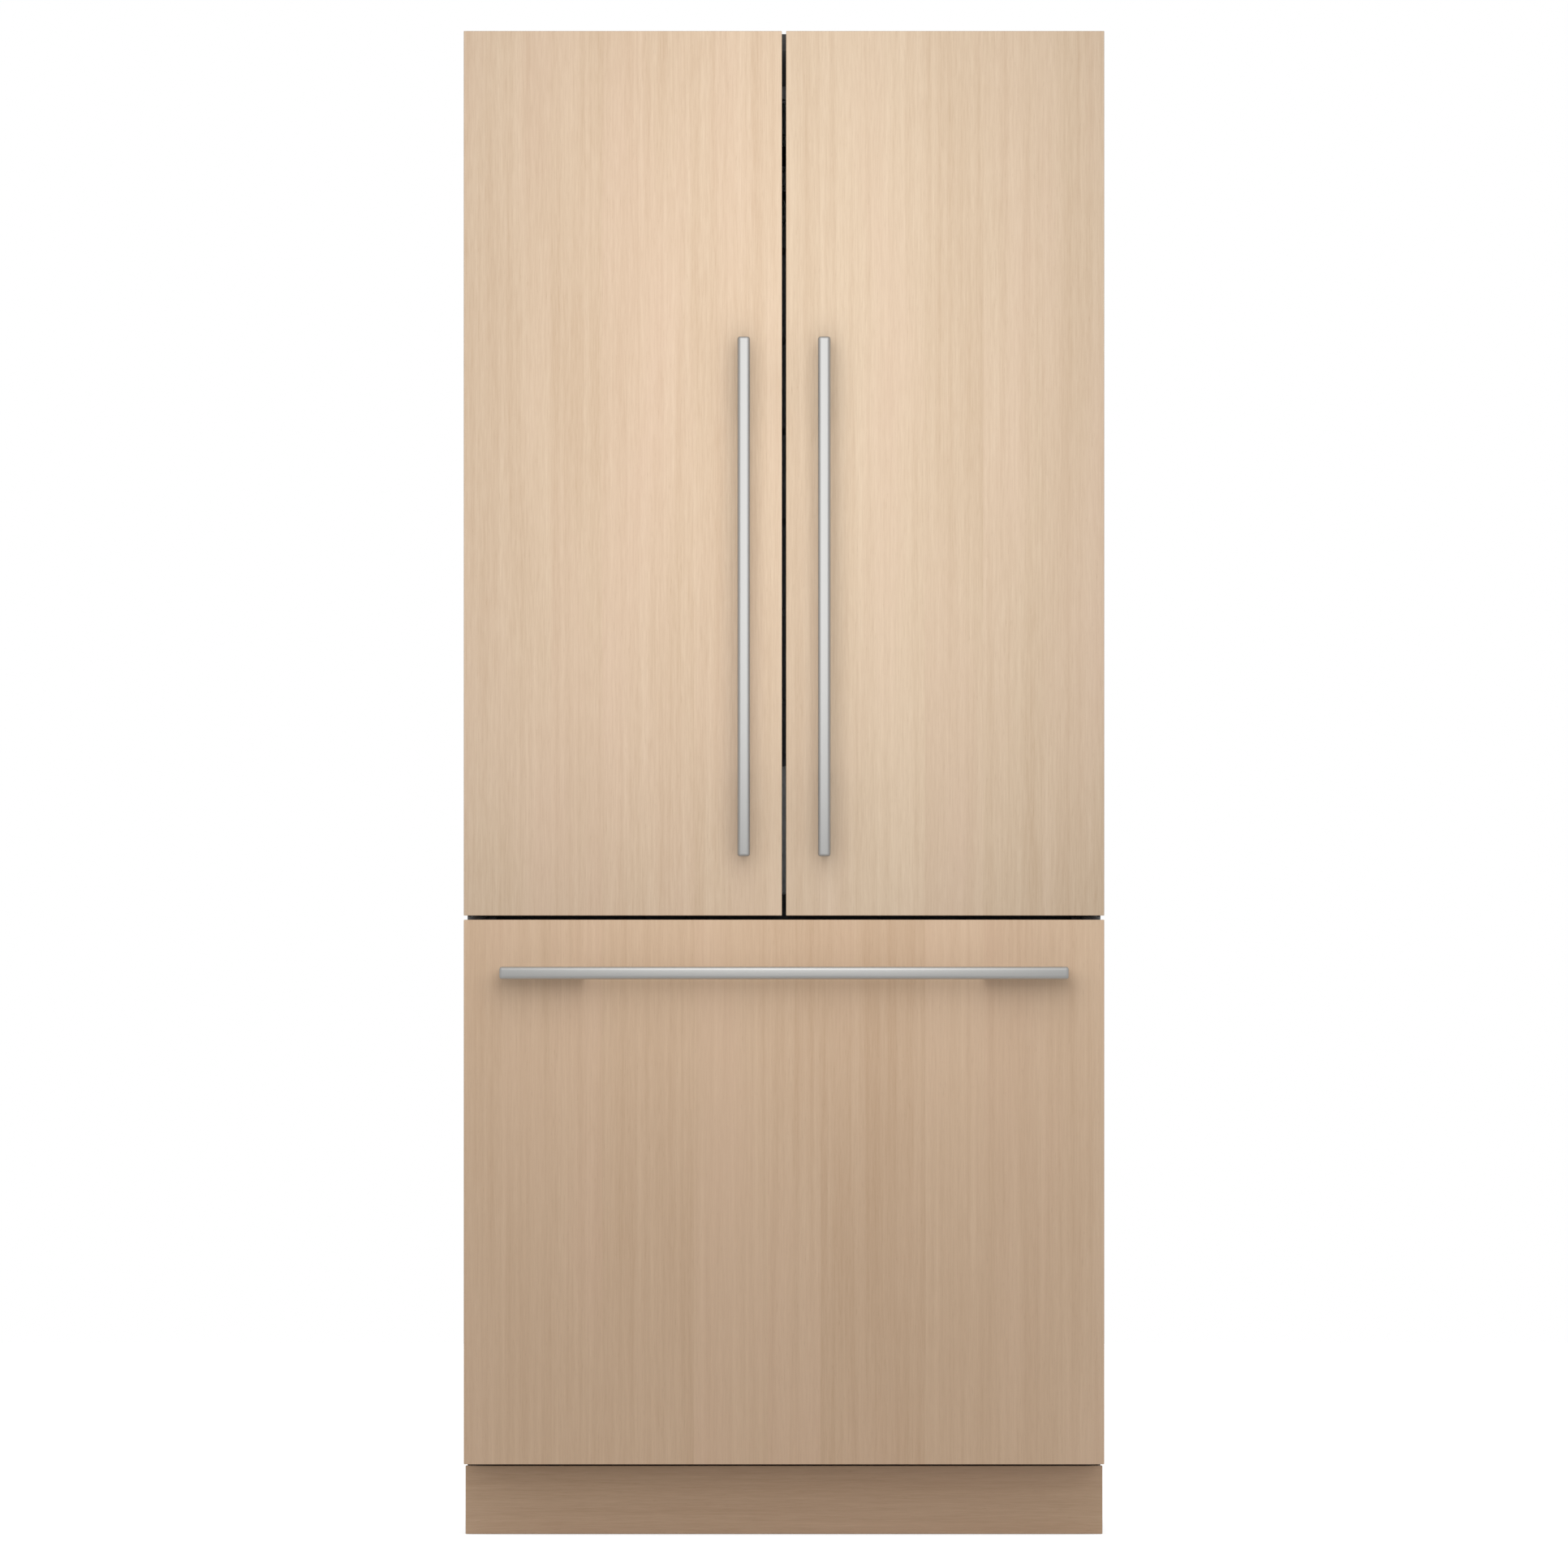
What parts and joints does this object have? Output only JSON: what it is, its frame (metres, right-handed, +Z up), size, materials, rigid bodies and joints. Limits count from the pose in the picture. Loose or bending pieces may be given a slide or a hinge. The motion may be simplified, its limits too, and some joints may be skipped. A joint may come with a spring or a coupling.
{
  "type": "french door refrigerator",
  "caption": "Built-in refrigerator with wood-faced french doors over a wood-faced freezer drawer, bar handles, recessed toe kick and a fitted cold interior.",
  "frame": {"origin": "centre of the overall box on the floor", "axes": "+Z up, the doors face -Y, +X to the right for someone facing the doors"},
  "size_m": [0.908, 0.655, 2.134],
  "materials": {
    "wood_veneer": "satin",
    "satin_steel": "satin",
    "sheet_steel": "satin",
    "zinc_steel": "satin",
    "foam": "matte",
    "door_skin": "matte",
    "liner_white": "gloss",
    "trim_grey": "matte",
    "black_plastic": "matte",
    "black_steel": "satin",
    "gasket_rubber": "matte",
    "mount_rubber": "matte",
    "aluminium_trim": "satin",
    "aluminium_fins": "satin",
    "shelf_glass": "gloss",
    "clear_plastic": "gloss",
    "lamp_lens": "satin",
    "panel_glass": "gloss",
    "roller_nylon": "matte",
    "foot_steel": "satin"
  },
  "bodies": {
    "cabinet": {"outer_wrapper": "sheet_steel", "rear_panel": "zinc_steel", "base_frame": "black_steel", "cabinet_foam": "foam", "fridge_liner": "liner_white", "freezer_liner": "liner_white", "fridge_air_duct": "liner_white", "freezer_air_duct": "liner_white", "evaporators": "aluminium_fins", "compressor": "black_steel", "compressor_mounts": "mount_rubber", "condenser": "aluminium_fins", "fan_shroud": "black_plastic", "drain_pan": "black_plastic", "machine_cover": "zinc_steel", "base_grille": "black_steel", "toe_kick": "wood_veneer", "control_box": "trim_grey", "top_bracket": "zinc_steel", "hinge_brackets": "zinc_steel", "outer_slides": "zinc_steel", "glass_shelves": "shelf_glass", "shelf_frames": "aluminium_trim", "crisper_cover": "aluminium_trim", "light_strips": "lamp_lens", "control_panel": "panel_glass", "flipper_guide": "trim_grey"},
    "left_door": {"left_panel": "wood_veneer", "left_door_body": "door_skin", "left_door_liner": "liner_white", "left_door_gasket": "gasket_rubber", "left_handle": "satin_steel", "left_door_bins": "clear_plastic", "flipper_hinges": "foot_steel"},
    "flipper": {"flipper_bar": "trim_grey"},
    "right_door": {"right_panel": "wood_veneer", "right_door_body": "door_skin", "right_door_liner": "liner_white", "right_door_gasket": "gasket_rubber", "right_handle": "satin_steel", "right_door_bins": "clear_plastic"},
    "freezer_drawer": {"drawer_panel": "wood_veneer", "drawer_body": "door_skin", "drawer_gasket": "gasket_rubber", "drawer_handle": "satin_steel", "inner_slides": "zinc_steel", "freezer_bin": "liner_white"},
    "slide_middles": {"middle_slides": "zinc_steel"},
    "tray": {"freezer_tray": "clear_plastic"},
    "crisper_l": {"left_crisper": "clear_plastic"},
    "crisper_r": {"right_crisper": "clear_plastic"},
    "knob_l": {"left_humidity_knob": "trim_grey"},
    "knob_r": {"right_humidity_knob": "trim_grey"},
    "fan_fridge": {"fridge_fan": "black_plastic"},
    "fan_freezer": {"freezer_fan": "black_plastic"},
    "fan_condenser": {"condenser_fan": "black_plastic"},
    "roller_l": {"left_roller": "roller_nylon"},
    "roller_r": {"right_roller": "roller_nylon"},
    "foot_l": {"left_foot": "foot_steel"},
    "foot_r": {"right_foot": "foot_steel"}
  },
  "joints": [
    {"name": "left_door_hinge", "type": "hinge", "parent": "cabinet", "child": "left_door", "pos_m": [-0.434, -0.2425, 1.5], "axis": [0, 0, -1], "range_deg": [0, 110]},
    {"name": "right_door_hinge", "type": "hinge", "parent": "cabinet", "child": "right_door", "pos_m": [0.434, -0.2425, 1.5], "axis": [0, 0, 1], "range_deg": [0, 110]},
    {"name": "flipper_fold", "type": "hinge", "parent": "left_door", "child": "flipper", "pos_m": [-0.024, -0.1875, 1.5], "axis": [0, 0, -1], "range_deg": [0, 90]},
    {"name": "drawer_slide", "type": "slide", "parent": "cabinet", "child": "freezer_drawer", "axis": [0, -1, 0], "range_m": [0, 0.4]},
    {"name": "middle_slide", "type": "slide", "parent": "cabinet", "child": "slide_middles", "axis": [0, -1, 0], "range_m": [0, 0.2]},
    {"name": "tray_slide", "type": "slide", "parent": "freezer_drawer", "child": "tray", "axis": [0, -1, 0], "range_m": [0, 0.18]},
    {"name": "left_crisper_slide", "type": "slide", "parent": "cabinet", "child": "crisper_l", "axis": [0, -1, 0], "range_m": [0, 0.115]},
    {"name": "right_crisper_slide", "type": "slide", "parent": "cabinet", "child": "crisper_r", "axis": [0, -1, 0], "range_m": [0, 0.115]},
    {"name": "left_knob_slide", "type": "slide", "parent": "cabinet", "child": "knob_l", "axis": [-1, 0, 0], "range_m": [0, 0.045]},
    {"name": "right_knob_slide", "type": "slide", "parent": "cabinet", "child": "knob_r", "axis": [1, 0, 0], "range_m": [0, 0.045]},
    {"name": "fridge_fan_spin", "type": "hinge", "parent": "cabinet", "child": "fan_fridge", "pos_m": [0, 0.2445, 1.94], "axis": [0, -1, 0], "continuous": true},
    {"name": "freezer_fan_spin", "type": "hinge", "parent": "cabinet", "child": "fan_freezer", "pos_m": [0, 0.2445, 0.74], "axis": [0, -1, 0], "continuous": true},
    {"name": "condenser_fan_spin", "type": "hinge", "parent": "cabinet", "child": "fan_condenser", "pos_m": [-0.175, 0.215, 0.137], "axis": [1, 0, 0], "continuous": true},
    {"name": "left_roller_spin", "type": "hinge", "parent": "cabinet", "child": "roller_l", "pos_m": [-0.4, 0.2775, 0.02], "axis": [1, 0, 0], "continuous": true},
    {"name": "right_roller_spin", "type": "hinge", "parent": "cabinet", "child": "roller_r", "pos_m": [0.4, 0.2775, 0.02], "axis": [1, 0, 0], "continuous": true},
    {"name": "left_foot_screw", "type": "slide", "parent": "cabinet", "child": "foot_l", "axis": [0, 0, -1], "range_m": [0, 0.03]},
    {"name": "right_foot_screw", "type": "slide", "parent": "cabinet", "child": "foot_r", "axis": [0, 0, -1], "range_m": [0, 0.03]}
  ],
  "couplings": [
    {"joint": "middle_slide", "follows": "drawer_slide", "ratio": 0.5}
  ]
}
